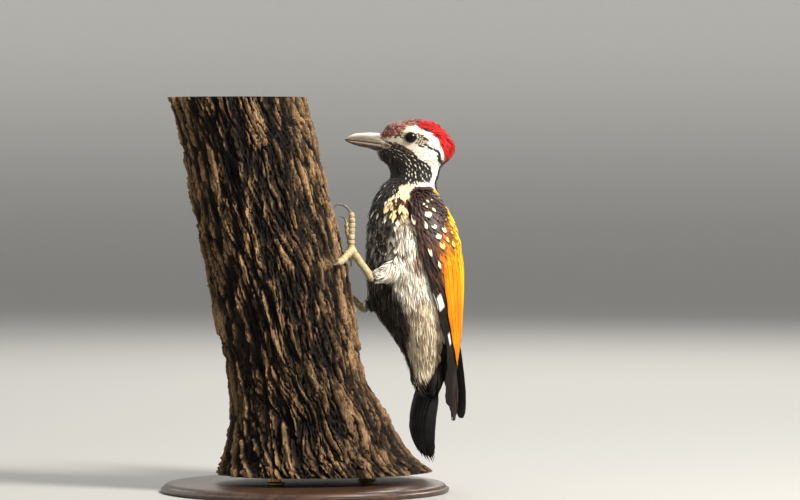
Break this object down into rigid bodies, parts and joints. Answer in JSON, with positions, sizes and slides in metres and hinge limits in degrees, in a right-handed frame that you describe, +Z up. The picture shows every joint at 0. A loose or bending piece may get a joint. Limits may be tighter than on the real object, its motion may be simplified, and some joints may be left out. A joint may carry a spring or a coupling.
{
  "type": "flameback woodpecker clinging to a cut length of trunk",
  "caption": "Life-size still woodpecker with a red crest and golden wings, gripping a cut length of rough trunk that stands on a plain round base.",
  "frame": {"origin": "centre of the underside of the stand's round base", "axes": "+Z up; the bird's middle plane is y = 0, it faces -X towards the trunk it clings to, and its left side is -Y"},
  "size_m": [0.217, 0.196, 0.268],
  "materials": {
    "plumage": "soft body feathers: white and buff below with black streaks and scales, black throat spotted white, red crest, black and white face",
    "wing_feathers": "golden-orange and olive wing feathers with black flight feathers, white and cream spots",
    "tail_feathers": "stiff black tail feathers with a faint gloss",
    "bill_horn": "grey horn, paler along the top, satin",
    "eye": "wet, near-black with a dark red-brown iris",
    "leg_skin": "pale olive-buff scaly skin",
    "claw": "dark grey horn",
    "bark": "deeply fissured grey-brown bark, sawn pale wood at the ends",
    "stand_wood": "dark stained wood, satin",
    "stand_metal": "brushed, slightly dulled"
  },
  "bodies": {
    "root": {"trunk": "plumage", "neck": "plumage", "head": "plumage", "thigh_left": "plumage", "thigh_right": "plumage", "wing_left": "wing_feathers", "wing_right": "wing_feathers", "tail": "tail_feathers", "bill_upper": "bill_horn", "bill_lower": "bill_horn", "eye_left": "eye", "eye_right": "eye", "foot_left": "leg_skin", "foot_right": "leg_skin", "toe_outer_rear_left": "leg_skin", "toe_middle_left": "leg_skin", "toe_inner_left": "leg_skin", "toe_hind_left": "leg_skin", "toe_outer_rear_right": "leg_skin", "toe_middle_right": "leg_skin", "toe_inner_right": "leg_skin", "toe_hind_right": "leg_skin", "claw_outer_rear_left": "claw", "claw_middle_left": "claw", "claw_inner_left": "claw", "claw_hind_left": "claw", "claw_outer_rear_right": "claw", "claw_middle_right": "claw", "claw_inner_right": "claw", "claw_hind_right": "claw", "perch": "bark", "stand_base": "stand_wood", "stand_rod_front": "stand_metal", "stand_rod_back": "stand_metal"}
  },
  "joints": []
}
